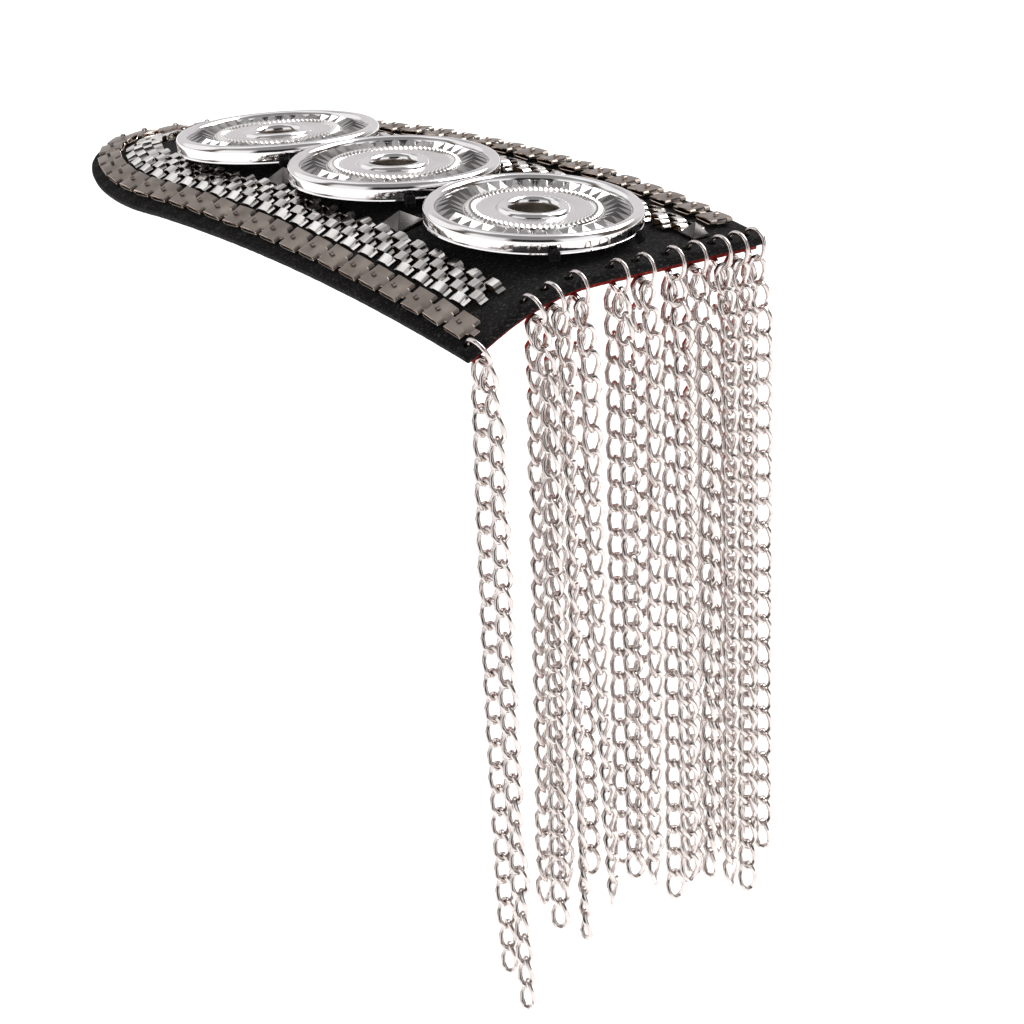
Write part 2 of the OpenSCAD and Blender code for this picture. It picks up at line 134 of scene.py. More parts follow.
class Finish:
    """A node tree that is being written: a material's, or the world's."""

    def __init__(self, owner):
        self.owner = owner
        owner.use_nodes = True
        self.tree = owner.node_tree
        self.tree.nodes.clear()

    def feed(self, socket, value):
        """Links a wire to the socket, or sets the socket to a plain value."""
        if isinstance(value, Wire):
            self.tree.links.new(value.socket, socket)
        else:
            socket.default_value = value

    def node(self, kind, settings=None, sockets=None, out=0):
        """Adds a node, sets it up, feeds its sockets and gives back one of its outputs."""
        made = self.tree.nodes.new(kind)
        for name, value in (settings or {}).items():
            if name == "stops":
                self.set_stops(made.color_ramp, value)
            else:
                setattr(made, name, value)
        for name, value in (sockets or {}).items():
            self.feed(made.inputs[name], value)
        return Wire(self, made.outputs[out]) if made.outputs else made

    def set_stops(self, ramp, stops):
        """Gives a colour ramp its stops, each a place from 0 to 1 and a colour."""
        while len(ramp.elements) < len(stops):
            ramp.elements.new(1)
        for element, (place, shade) in zip(ramp.elements, stops):
            element.position = place
            element.color = shade

    def place(self, stretch=(1, 1, 1)):
        """Where a point lies on the object, in metres, stretched to draw out a grain."""
        spot = self.node("ShaderNodeTexCoord", out="Object")
        return self.node("ShaderNodeMapping", None, {"Vector": spot, "Scale": stretch})

    def noise(self, size, detail=2.0, roughness=0.5, stretch=(1, 1, 1)):
        """Cloudy noise whose lumps are about size metres across, from 0 to 1."""
        return self.node(
            "ShaderNodeTexNoise", None,
            {"Vector": self.place(stretch), "Scale": 1 / size, "Detail": detail,
             "Roughness": roughness})

    def blend(self, share, low, high):
        """A mix of two colours, by a share from 0 to 1."""
        return self.node("ShaderNodeMix", {"data_type": "RGBA"}, {0: share, 6: low, 7: high}, out=2)

    def ramp(self, value, stops):
        """The colour that a ramp with these stops has at value."""
        return self.node("ShaderNodeValToRGB", {"stops": stops}, {"Fac": value})

    def between(self, value, low, high, to_low=0.0, to_high=1.0):
        """Value moved from the range low..high to the range to_low..to_high, and kept in it."""
        return self.node(
            "ShaderNodeMapRange", None, {"Value": value, 1: low, 2: high, 3: to_low, 4: to_high})

    def bump(self, height, depth, strength=1.0):
        """Relief of the given depth in metres, for the shader's Normal."""
        return self.node(
            "ShaderNodeBump", None, {"Height": height, "Distance": depth, "Strength": strength})

    def towards(self, look, direction):
        """How nearly the look points in a direction: 1 along it, 0 square to it."""
        return self.node(
            "ShaderNodeVectorMath", {"operation": "DOT_PRODUCT"}, {0: look, 1: direction}, out="Value")

    def surface(self, sockets):
        """Closes a material with one Principled shader."""
        shader = self.node("ShaderNodeBsdfPrincipled", None, sockets)
        self.node("ShaderNodeOutputMaterial", None, {"Surface": shader})
        return self.owner


def srgb(red, green, blue):
    """A colour as it looks on screen, 0 to 255, as the linear colour that shaders use."""
    return tuple(
        c / 12.92 if c <= 0.04045 else ((c + 0.055) / 1.055) ** 2.4
        for c in (red / 255, green / 255, blue / 255)
    ) + (1.0,)


print("a middle grey on screen is", round(srgb(128, 128, 128)[0], 3), "to a shader")

# %% [markdown]
# ## Floor and light
# Polished metal shows what stands around it, so the surroundings are the most important finish
# of all. The photograph's metal is white with dark outlines: a studio that is white on the
# camera's side, dark at both sides, pale grey at the far end and darker grey overhead, with a
# softbox high at the far end, another on the left and a dark patch where the camera stands. A
# world shader paints those by direction. One large soft lamp adds a little shape, and the floor
# is a plain pale sheet.

# %% Floor
floor_drop = 0.14
floor_size = 6.0
floor_glow = 0.6
floor_z = cad_low.z - floor_drop
bm = bmesh.new()
bmesh.ops.create_grid(bm, x_segments=2, y_segments=2, size=floor_size)
bmesh.ops.translate(bm, verts=bm.verts[:], vec=(0, 0, floor_z))
floor_mesh = bpy.data.meshes.new("floor")
bm.to_mesh(floor_mesh)
bm.free()
floor = bpy.data.objects.new("floor", floor_mesh)
bpy.context.scene.collection.objects.link(floor)
floor_finish = Finish(bpy.data.materials.new("floor_paper"))
paper = floor_finish.noise(0.02, detail=4)
floor.data.materials.append(floor_finish.surface({
    "Base Color": (0.9, 0.9, 0.9, 1),
    "Roughness": floor_finish.between(paper, 0, 1, 0.85, 0.95),
    "Emission Color": (1, 1, 1, 1),
    "Emission Strength": floor_glow,
}))
print("floor at", round(floor_z / MM), "mm")

# %% Studio world
world = bpy.context.scene.world or bpy.data.worlds.new("studio")
bpy.context.scene.world = world
studio = Finish(world)
look = studio.node("ShaderNodeTexCoord", out="Generated")
to_camera = Vector((-camera_aim.x, -camera_aim.y, 0)).normalized()
to_left_box = Vector((-0.8, -0.42, 0.42)).normalized()
height = studio.node("ShaderNodeSeparateXYZ", None, {0: look}, out="Z")
level = (1.0001 - height * height).to_power(0.5)
facing = studio.towards(look, to_camera) / level
white = (1.0, 1.0, 1.0, 1)
side_shade = (0.11, 0.09, 0.075, 1)
ceiling_shade = (0.27, 0.265, 0.265, 1)
camera_shade = (0.025, 0.024, 0.024, 1)
far_shade = (0.72, 0.7, 0.71, 1)
round_wall = studio.ramp(facing * 0.5 + 0.5, [
    (0.1, far_shade), (0.22, (0.42, 0.41, 0.4, 1)), (0.34, side_shade), (0.62, side_shade),
    (0.7, white)])
ceiling = studio.between(height, 0.45, 0.8)
behind_camera = studio.between(facing, 0.86, 0.93) * studio.between(height, 0.8, 0.55)
far_box_height = studio.between(height, 0.7, 0.78) * studio.between(height, 0.97, 0.93)
far_box = studio.between(facing, -0.1, -0.3) * far_box_height
left_box = studio.between(studio.towards(look, to_left_box), 0.87, 0.93)
walls = studio.blend(left_box, studio.blend(ceiling, round_wall, ceiling_shade), white)
room = studio.blend(far_box, studio.blend(behind_camera, walls, camera_shade), white)
seen = studio.node("ShaderNodeLightPath", out="Is Camera Ray")
shade = studio.blend(seen, room, white)
light = studio.node("ShaderNodeBackground", None, {"Color": shade, "Strength": 1.0})
studio.node("ShaderNodeOutputWorld", None, {"Surface": light})

lamp_size = 0.9
lamp_power = 14
lamp_place = Vector((0.1, 0.9, 1.0))
lamp = bpy.data.objects.new("softbox", bpy.data.lights.new("softbox", "AREA"))
lamp.data.size = lamp_size
lamp.data.energy = lamp_power
lamp.matrix_world = Matrix.Translation(lamp_place) @ (
    (-lamp_place).to_track_quat("-Z", "Y").to_matrix().to_4x4())
bpy.context.scene.collection.objects.link(lamp)
print("softbox", round(lamp_place.length, 2), "m away")

# %% [markdown]
# ## Pieces and their finish
# Each piece is one mesh that rides on the model's only body. A helper takes a finished bmesh,
# gives it its materials and keeps smooth shading only where two faces meet at a small angle, so
# folded metal keeps its crisp edges.

# %% Piece helpers
def finish_piece(name, bm, materials, replaces=(), smooth_below=35):
    """Makes the object, smooth where faces meet at less than smooth_below degrees."""
    mesh = bpy.data.meshes.new(name)
    bm.to_mesh(mesh)
    bm.free()
    mesh.shade_smooth()
    mesh.set_sharp_from_angle(angle=math.radians(smooth_below))
    for material in materials:
        mesh.materials.append(material)
    piece = bpy.data.objects.new(name, mesh)
    bpy.context.scene.collection.objects.link(piece)
    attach(piece, "root")
    if replaces:
        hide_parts(*replaces)
    return piece


def stamp(bm, mesh, matrix):
    """Adds a copy of mesh to bm, moved by matrix."""
    first_vert = len(bm.verts)
    bm.from_mesh(mesh)
    bm.verts.ensure_lookup_table()
    bmesh.ops.transform(bm, matrix=matrix, verts=bm.verts[first_vert:])


def keep_mesh(name, bm):
    """A bmesh as mesh data, to be stamped many times."""
    mesh = bpy.data.meshes.new(name)
    bm.to_mesh(mesh)
    bm.free()
    return mesh


def add_line(bm, points, closed=False):
    """Vertices joined by edges, in order."""
    verts = [bm.verts.new(p) for p in points]
    ends = verts[1:] + (verts[:1] if closed else [])
    return verts, [bm.edges.new(pair) for pair in zip(verts, ends)]


def moved_verts(result):
    """The new vertices in what an extrude gives back."""
    return [item for item in result["geom"] if isinstance(item, bmesh.types.BMVert)]


def is_edge(item):
    """Whether an item of an extrude's result is an edge."""
    return isinstance(item, bmesh.types.BMEdge)


def pull_edges(bm, edges, way):
    """Extrudes edges by the vector way, and gives back what the extrude made."""
    grown = bmesh.ops.extrude_edge_only(bm, edges=edges)
    bmesh.ops.translate(bm, verts=moved_verts(grown), vec=way)
    return grown


def thicken(bm, wall):
    """Gives a sheet of faces a wall, and gives back the faces that it had before."""
    bmesh.ops.recalc_face_normals(bm, faces=bm.faces[:])
    sheet = set(bm.faces)
    bmesh.ops.solidify(bm, geom=bm.faces[:], thickness=wall)
    bmesh.ops.recalc_face_normals(bm, faces=bm.faces[:])
    return sheet


def sharp_edges(bm, angle):
    """The edges at which two faces meet at more than angle, in radians."""
    return [e for e in bm.edges if len(e.link_faces) == 2 and e.calc_face_angle() > angle]


def round_edges(bm, edges, offset, segments):
    """Bevels the edges."""
    bmesh.ops.bevel(bm, geom=edges, offset=offset, offset_type="OFFSET", segments=segments,
                    profile=0.5, affect="EDGES", material=-1)


def spin_round(bm, geom, steps):
    """Turns vertices and edges a full turn about Z."""
    bmesh.ops.spin(bm, geom=geom, cent=(0, 0, 0), axis=(0, 0, 1), dvec=(0, 0, 0),
                   angle=math.tau, steps=steps, use_merge=True, use_duplicate=False)


def uneven(draw, degrees):
    """A small turn by hand, in radians, most of them less than the given degrees."""
    return math.radians(draw.gauss(0, degrees))


# %% [markdown]
# ## The board's surface
# Everything is laid on one curved sheet. Along its length it bends over the shoulder on a large
# radius. Across, it has a flat strip in the middle and droops on the front side. So a place on
# the board is given as it is on the flat pattern: s along it, y across it, h above the felt.

# %% Board sizes and surface
front_reach = 72 * MM
neck_start = 48 * MM
neck_reach = 54 * MM
neck_half_w = 31.7 * MM
end_half_w = 38.5 * MM
back_half_w = 40 * MM
widest_s = 20 * MM
felt_t = 1.8 * MM
backing_t = 1 * MM
backing_inset = 1.3 * MM
long_bend_r = 720 * MM
flat_half_w = 4 * MM
droop_r = 52 * MM
droop_max = math.radians(28)
lay_gap = 0.15 * MM
oval_power = 2.4
top_z = backing_t + lay_gap + felt_t


def droop(y):
    """How far the felt has turned down at y."""
    return min(droop_max, max(0.0, -y - flat_half_w) / droop_r)


def on_felt(s, y, h=0.0):
    """The place in space of a point of the flat pattern."""
    turn = droop(y)
    straight = max(0.0, -y - flat_half_w - droop_r * droop_max)
    across = y
    if y < -flat_half_w:
        across = -flat_half_w - droop_r * math.sin(turn) - straight * math.cos(turn)
    sunk = droop_r * (1 - math.cos(turn)) + straight * math.sin(turn)
    lift = long_bend_r - sunk + h * math.cos(turn)
    along = s / long_bend_r
    return Vector((
        lift * math.sin(along),
        across - h * math.sin(turn),
        lift * math.cos(along) - long_bend_r + top_z,
    ))


def seat(s, y, h=0.0, heading=0.0):
    """The matrix that stands a piece on the felt, turned by heading in the felt's own plane."""
    return (
        Matrix.Translation(on_felt(s, y, h))
        @ Matrix.Rotation(s / long_bend_r, 4, "Y")
        @ Matrix.Rotation(droop(y), 4, "X")
        @ Matrix.Rotation(heading, 4, "Z")
    )


corner = on_felt(front_reach, -end_half_w)
print("front corner at", [round(c / MM, 1) for c in corner], "mm, model low", round(cad_low.y / MM, 1))

# %% Board outline
side_slope = (end_half_w - neck_half_w) / (front_reach + neck_start)


def front_y(s, m=0.0):
    """The front edge: a straight side and a half ellipse about the neck."""
    if s > -neck_start:
        return -(neck_half_w - m + (s + neck_start) * side_slope)
    share = min(1.0, (-s - neck_start) / (neck_reach - m))
    return -(neck_half_w - m) * math.sqrt(1 - share * share)


def oval_l(m):
    """Half the length of the back edge's oval, m inside the edge."""
    return widest_s + neck_start + neck_reach - m


def back_y(s, m=0.0):
    """The back edge: one long oval."""
    share = min(1.0, abs(s - widest_s) / oval_l(m))
    return (back_half_w - m) * (1 - share ** oval_power) ** (1 / oval_power)


def oval_point(turn, m):
    """The oval's point at a turn that is 0 at the neck's tip and half a turn at its far end."""
    side = math.copysign(1, math.cos(turn))
    return (
        widest_s - side * oval_l(m) * abs(math.cos(turn)) ** (2 / oval_power),
        (back_half_w - m) * math.sin(turn) ** (2 / oval_power),
    )


def oval_end(s, m):
    """The turn at which the oval reaches s."""
    return math.pi / 2 + math.asin(((s - widest_s) / oval_l(m)) ** (oval_power / 2))


def neck_point(turn, m):
    """The half ellipse's point, from the neck's tip to where the straight side starts."""
    return (
        -neck_start - (neck_reach - m) * math.cos(turn),
        -(neck_half_w - m) * math.sin(turn),
    )


def border(m, back_stop, front_stop, oval_steps=60, neck_steps=24):
    """The line at m inside the edge, from the back corner round the neck to the front corner."""
    last_turn = oval_end(front_reach - back_stop, m)
    back = [oval_point(i / oval_steps * last_turn, m) for i in range(oval_steps, 0, -1)]
    neck = [neck_point(math.pi / 2 * i / neck_steps, m) for i in range(neck_steps + 1)]
    front_s = front_reach - front_stop
    side = -(neck_half_w - m + (front_s + neck_start) * side_slope)
    return back + neck + [(front_s, side)]


class Path:
    """A line on the board that can be asked for the point at a distance along it."""

    def __init__(self, points):
        self.points = [Vector(p) for p in points]
        self.run = [0.0]
        for a, b in zip(self.points, self.points[1:]):
            self.run.append(self.run[-1] + (b - a).length)
        self.length = self.run[-1]

    def at(self, t):
        """The point at distance t."""
        t = min(max(t, 0.0), self.length)
        k = next(i for i in range(1, len(self.run)) if t <= self.run[i] + 1e-9)
        share = (t - self.run[k - 1]) / (self.run[k] - self.run[k - 1])
        return self.points[k - 1].lerp(self.points[k], share)


print("edge of the board:", round(Path(border(0, 0, 0)).length / MM), "mm long")

# %% [markdown]
# ## Felt
# Felt is thick and matt, with soft edges and a surface that is never quite even. A grid is
# stretched to the outline, extruded to the felt's thickness and bevelled round its edge, all in
# the flat. Only then is it bent to the board's surface and given its small lumps. The holes for
# the jump rings are cut with a Boolean while it is still flat.

# %% Felt finishes
def felt_finish(name, dark, light, speck):
    """Matt felt that clouds from dark to light, with fibres of a paler speck."""
    felt = Finish(bpy.data.materials.new(name))
    nap = felt.noise(0.9 * MM, detail=5, roughness=0.65)
    fibre = felt.noise(0.42 * MM, detail=3, roughness=0.7, stretch=(1, 0.45, 1))
    patches = felt.noise(14 * MM, detail=2)
    tone = felt.blend(felt.between(nap * 0.7 + patches * 0.3, 0.35, 0.68), dark, light)
    lint = felt.between(fibre, 0.54, 0.68)
    return felt.surface({
        "Base Color": felt.blend(lint, tone, speck),
        "Roughness": felt.between(nap, 0.3, 0.7, 0.88, 1.0),
        "Specular IOR Level": 0.08,
        "Sheen Weight": 0.04,
        "Sheen Roughness": 0.5,
        "Normal": felt.bump(nap * 0.6 + fibre * 0.4, 0.35 * MM, 0.9),
    })


black_felt = felt_finish("black_felt", srgb(10, 10, 11), srgb(32, 30, 31), srgb(74, 70, 69))
red_felt = felt_finish("red_felt", srgb(112, 22, 20), srgb(150, 42, 36), srgb(176, 84, 72))
print("two felts")

# %% Felt shapes
hole_in = 2.6 * MM
hole_d = 2.0 * MM
# Where the rings sit on the fringe end: shares of the way from the middle line to a corner
ring_shares = (-0.925, -0.553, -0.421, -0.265, -0.005, 0.166, 0.364, 0.514, 0.678, 0.794, 0.91)
front_end_w = -front_y(front_reach)
back_end_w = back_y(front_reach)
ring_y = [share * (front_end_w if share < 0 else back_end_w) for share in ring_shares]
felt_rows = 170
felt_columns = 76
felt_lump = 0.05 * MM


def flat_felt(inset, thickness, edge_round):
    """Felt as cut, in the flat: its top at z 0."""
    bm = bmesh.new()
    bmesh.ops.create_grid(bm, x_segments=felt_rows, y_segments=felt_columns, size=1)
    tip = -neck_start - neck_reach + inset
    reach = front_reach - inset - tip
    for vert in bm.verts:
        share = (vert.co.x + 1) / 2
        s = tip + reach * (1 - math.cos(share * math.pi / 2))
        low, high = front_y(s, inset), back_y(s, inset)
        vert.co = (s, low + (high - low) * (vert.co.y + 1) / 2, 0)
    bmesh.ops.remove_doubles(bm, verts=bm.verts[:], dist=0.02 * MM)
    grown = bmesh.ops.extrude_face_region(bm, geom=bm.faces[:])
    bmesh.ops.translate(bm, verts=moved_verts(grown), vec=(0, 0, -thickness))
    bmesh.ops.recalc_face_normals(bm, faces=bm.faces[:])
    round_edges(bm, sharp_edges(bm, 1.0), edge_round, segments=2)
    return bm


def punch(bm, depth):
    """Cuts the jump rings' holes through flat felt."""
    felt = bpy.data.objects.new("uncut", keep_mesh("uncut", bm))
    cutter = bmesh.new()
    for y in ring_y:
        bmesh.ops.create_cone(
            cutter, cap_ends=True, segments=14, radius1=hole_d / 2, radius2=hole_d / 2,
            depth=depth, matrix=Matrix.Translation((front_reach - hole_in, y, 0)))
    tool = bpy.data.objects.new("hole_tool", keep_mesh("hole_tool", cutter))
    for part in (felt, tool):
        bpy.context.scene.collection.objects.link(part)
    cut = felt.modifiers.new("holes", "BOOLEAN")
    cut.operation = "DIFFERENCE"
    cut.solver = "EXACT"
    cut.object = tool
    result = felt.evaluated_get(bpy.context.evaluated_depsgraph_get())
    bm = bmesh.new()
    bm.from_mesh(result.to_mesh())
    for part in (felt, tool):
        bpy.data.objects.remove(part)
    return bm


def lay_felt(bm, depth, lump, seed):
    """Bends flat felt to the board's surface and gives it small lumps."""
    lumps = random.Random(seed)
    for vert in bm.verts:
        s, y, h = vert.co
        vert.co = on_felt(s, y, h - depth + lumps.uniform(-lump, lump))


def top_area(bm):
    """The area of the faces that look up, in square metres, before the felt is bent."""
    return sum(face.calc_area() for face in bm.faces if face.normal.z > 0.5)


def make_felt(name, material, node, inset, thickness, depth, edge_round, seed):
    """One felt: cut, punched and bent, and its flat size printed."""
    bm = punch(flat_felt(inset, thickness, edge_round), depth=20 * thickness)
    area = top_area(bm)
    length = front_reach + neck_start + neck_reach - 2 * inset
    width = end_half_w + back_half_w - 2 * inset
    lay_felt(bm, depth, felt_lump, seed)
    piece = finish_piece(name, bm, [material], [node], smooth_below=80)
    print(name, [round(x / MM, 1) for x in (width, length)], "mm,", round(area * 1e4, 1), "cm2")


# %% Make the felts
make_felt("black_felt_top", black_felt, node="felt_board",
          inset=0, thickness=felt_t, depth=0, edge_round=0.45 * MM, seed=11)
make_felt("red_felt_backing", red_felt, node="backing_felt",
          inset=backing_inset, thickness=backing_t, depth=felt_t + lay_gap,
          edge_round=0.2 * MM, seed=12)
print("felts laid")

# %% [markdown]
# ## Metal finishes
# All the metal is plated, and differs mostly in how it was worked: mirror-bright discs, satin
# plates, silver chain. Three finishes are copies that paint light instead: the discs' darker
# pyramids and the mesh's darker hollows are painted shade, and the plates' brighter cut edges are
# a painted highlight. Each finish has a fine grain and a cloudy change of tone and roughness,
# which break up reflections that would otherwise look like glass.

# %% Metal finishes
def metal_finish(name, tint, dull, rough, cloud=12 * MM, scratch=0.05, grain=(1, 1, 1), relief=0.0):
    """Plated metal: tint where it is bright, dull where it is worn, and its roughness range."""
    metal = Finish(bpy.data.materials.new(name))
    smear = metal.noise(cloud, detail=4)
    fine = metal.noise(0.5 * MM, detail=4, roughness=0.6, stretch=grain)
    wear = metal.between(smear, 0.35, 0.7)
    sockets = {
        "Base Color": metal.blend(wear, tint, dull),
        "Metallic": 1.0,
        "Roughness": metal.between(fine * 0.6 + smear * 0.4, 0.3, 0.7, rough - scratch, rough + scratch),
    }
    if relief:
        sockets["Normal"] = metal.bump(fine, relief, 0.6)
    return metal.surface(sockets)


disc_chrome = metal_finish("disc_chrome", srgb(247, 245, 245), srgb(234, 231, 233), 0.07, scratch=0.03)
disc_satin = metal_finish("disc_satin", srgb(236, 232, 233), srgb(224, 220, 221), 0.3)
# A darker copy of the chrome for the pyramids: painted shade and dark reflections.
disc_shade = metal_finish("disc_shade", srgb(168, 165, 165), srgb(128, 125, 125), 0.12, cloud=3 * MM)
disc_bore = metal_finish("disc_bore", srgb(206, 194, 182), srgb(176, 164, 152), 0.38, cloud=3 * MM)
disc_milled = metal_finish("disc_milled", srgb(240, 238, 236), srgb(222, 219, 216), 0.14)
plate_satin = metal_finish(
    "plate_satin", srgb(158, 148, 140), srgb(134, 124, 117), 0.34,
    cloud=5 * MM, grain=(0.25, 1, 1), relief=0.02 * MM)
# A brighter copy of the plate metal for the cut edges: a painted highlight.
plate_edge_highlight = metal_finish("plate_edge_highlight", srgb(235, 214, 200), srgb(205, 174, 156), 0.2)
mesh_bright = metal_finish("mesh_bright", srgb(246, 244, 242), srgb(224, 220, 216), 0.16, cloud=4 * MM)
# A darker, brown copy of the mesh metal for the bands' hollows: painted shade.
mesh_shade = metal_finish("mesh_shade", srgb(150, 128, 104), srgb(112, 92, 72), 0.3, cloud=4 * MM)
stud_metal = metal_finish("stud_metal", srgb(104, 101, 100), srgb(78, 75, 74), 0.28, cloud=3 * MM)
chain_silver = metal_finish("chain_silver", srgb(232, 224, 221), srgb(208, 198, 194), 0.18, cloud=2 * MM)
pin_steel = metal_finish("pin_steel", srgb(200, 200, 202), srgb(170, 170, 172), 0.25)
print("twelve metals")

# %% [markdown]
# ## Plate chain
# The outer border is a chain of small plates, each bent from one strip of metal: under, round
# the back fold, over the top and down to the front. A tongue runs from the front into a slot in
# the next plate's fold. The strip is drawn as its side view, extruded across in steps, opened
# where the slot is, and then thickened, so its cut edges are real faces, which get a brighter
# metal: a painted highlight.

# %% One plate
plate_inset = 2.4 * MM
plate_l = 6.8 * MM
plate_w = 5.2 * MM
plate_h = 1.9 * MM
plate_wall = 0.36 * MM
plate_gap = 0.55 * MM
stitch_gap = 0.5 * MM
tongue_w = 1.6 * MM
slot_w = tongue_w + 0.7 * MM
notch = 0.7 * MM
plate_metals = [plate_satin, plate_edge_highlight]
edge_highlight = 1


def plate_mesh():
    """One plate, lying along X with its foot at z 0, and its tongue in front."""
    a = plate_l / 2
    w = plate_w / 2
    half_wall = plate_wall / 2
    low = 0.12 * MM + half_wall
    top = plate_h - half_wall
    mid = plate_h * 0.55
    side_view = [
        (a - 0.35 * MM, mid - 0.45 * MM), (a - 1.3 * MM, low + 0.08 * MM), (a - 2 * MM, low),
        (-a + 1.4 * MM, low), (-a + 0.55 * MM, low + 0.2 * MM), (-a + half_wall, mid - 0.1 * MM),
        (-a + 0.22 * MM, mid + 0.3 * MM), (-a + 0.5 * MM, top - 0.08 * MM), (-a + 1 * MM, top),
        (0, top - 0.1 * MM), (a - 1.2 * MM, mid + 0.34 * MM), (a - half_wall, mid - 0.02 * MM)]
    steps = [-w, -slot_w / 2, -tongue_w / 2, tongue_w / 2, slot_w / 2, w]
    bm = bmesh.new()
    edges = add_line(bm, [(x, -w, z) for x, z in side_view])[1]
    for start, end in zip(steps, steps[1:]):
        grown = pull_edges(bm, edges, (0, end - start, 0))
        edges = [e for e in grown["geom"]
                 if is_edge(e) and all(abs(v.co.y - end) < 1e-7 for v in e.verts)]
    slot_faces = [
        f for f in bm.faces
        if abs(f.calc_center_median().y) < slot_w / 2
        and f.calc_center_median().x < -a + 0.45 * MM
        and f.calc_center_median().z > low + 0.4 * MM]
    bmesh.ops.delete(bm, geom=slot_faces, context="FACES")
    front = [
        e for e in bm.edges if len(e.link_faces) == 1
        and all(abs(v.co.x - a + half_wall) < 1e-7 for v in e.verts)
        and all(abs(v.co.y) < tongue_w / 2 + 1e-7 for v in e.verts)]
    for vert in bm.verts:
        if vert.co.x > a - 0.4 * MM and abs(vert.co.y) > tongue_w / 2 + 1e-6:
            vert.co.x -= notch
    for reach, rise in ((0.5, 0.2), (1.2, 0.05)):
        grown = pull_edges(bm, front, (reach * MM, 0, rise * MM))
        front = [e for e in grown["geom"]
                 if is_edge(e) and all(v in moved_verts(grown) for v in e.verts)]
    sheet = thicken(bm, plate_wall)
    # The thin faces of the strip's cut sides take the brighter metal: a painted highlight along the edges.
    for face in bm.faces:
        thin = face not in sheet and min(e.calc_length() for e in face.edges) < plate_wall * 1.2
        if thin and abs(face.normal.y) > 0.7:
            face.material_index = edge_highlight
    round_edges(bm, sharp_edges(bm, 1.2), 0.07 * MM, segments=1)
    print("plate:", len(bm.faces), "faces")
    return keep_mesh("plate", bm)


def curl_mesh():
    """The small arch on top of a plate, where the tongue's end is curled up through it."""
    outer = 0.6 * MM
    wide = 0.7 * MM
    curl_wall = 0.16 * MM
    steps = 8
    turns = [math.pi * i / steps for i in range(steps + 1)]
    bm = bmesh.new()
    edges = add_line(bm, [(outer * math.cos(t), -wide / 2, outer * math.sin(t)) for t in turns])[1]
    pull_edges(bm, edges, (0, wide, 0))
    thicken(bm, curl_wall)
    # The curl's cut sides take the brighter metal: a painted highlight.
    for face in bm.faces:
        if abs(face.normal.y) > 0.7:
            face.material_index = edge_highlight
    return keep_mesh("plate_curl", bm)


# %% Set the plates round the border
plate_back_stop = hole_in + 0.95 * MM
plate_front_stop = 3.1 * MM
plate_path = Path(border(plate_inset + plate_w / 2, plate_back_stop, plate_front_stop))
plate_pitch = plate_l + plate_gap
plate_count = int((plate_path.length - plate_l) / (plate_pitch + stitch_gap / 3)) + 1
plate = plate_mesh()
curl = curl_mesh()
curl_place = Matrix.Translation((-plate_l / 2 + 2.4 * MM, 0, plate_h - 0.12 * MM))
plate_draw = random.Random(5)
bm = bmesh.new()
for i in range(plate_count):
    centre = plate_path.length - plate_l / 2 - i * plate_pitch - i // 3 * stitch_gap
    back = plate_path.at(centre - plate_l / 2)
    front = plate_path.at(centre + plate_l / 2)
    middle = (back + front) / 2
    heading = math.atan2(front.y - back.y, front.x - back.x) + uneven(plate_draw, 1.2)
    pitched = Matrix.Rotation(uneven(plate_draw, 1.3), 4, "Y")
    rolled = Matrix.Rotation(uneven(plate_draw, 1.5), 4, "X")
    place = seat(middle.x, middle.y, lay_gap, heading) @ pitched @ rolled
    stamp(bm, plate, place)
    stamp(bm, curl, place @ curl_place)
plates = finish_piece("plate_border", bm, plate_metals, ["plate_chain"], 30)
print(plate_count, "plates,", len(plates.data.polygons), "faces")

# %% [markdown]
# ## Mesh chain
# Inside the plates runs a mesh of four rows of small bands, laid like bricks. Each band is a
# short strip bent to a hollow box on a wider foot, standing across the chain. The mesh is lower
# towards the edge of the board, so its outermost row shows bright faces over dark hollows. The
# faces inside each hollow have a darker, brown copy of the metal: painted shade.

# %% One band of the mesh
mesh_gap = 1.4 * MM
mesh_w = 8 * MM
mesh_t = 2 * MM
mesh_pitch = 6.5 * MM
mesh_rows = 4
mesh_end = 9.6 * MM
mesh_line = plate_inset + plate_w + mesh_gap + mesh_w / 2
band_wall = 0.3 * MM
row_w = mesh_w / mesh_rows
slope_fall = 0.45 * MM
front_fall = 0.8 * MM
mesh_metals = [mesh_bright, mesh_shade]
hollow_shade = 1


def row_offset(row):
    """How far a row of bands lies from the middle of the mesh, inwards."""
    return (mesh_rows / 2 - 0.5 - row) * row_w


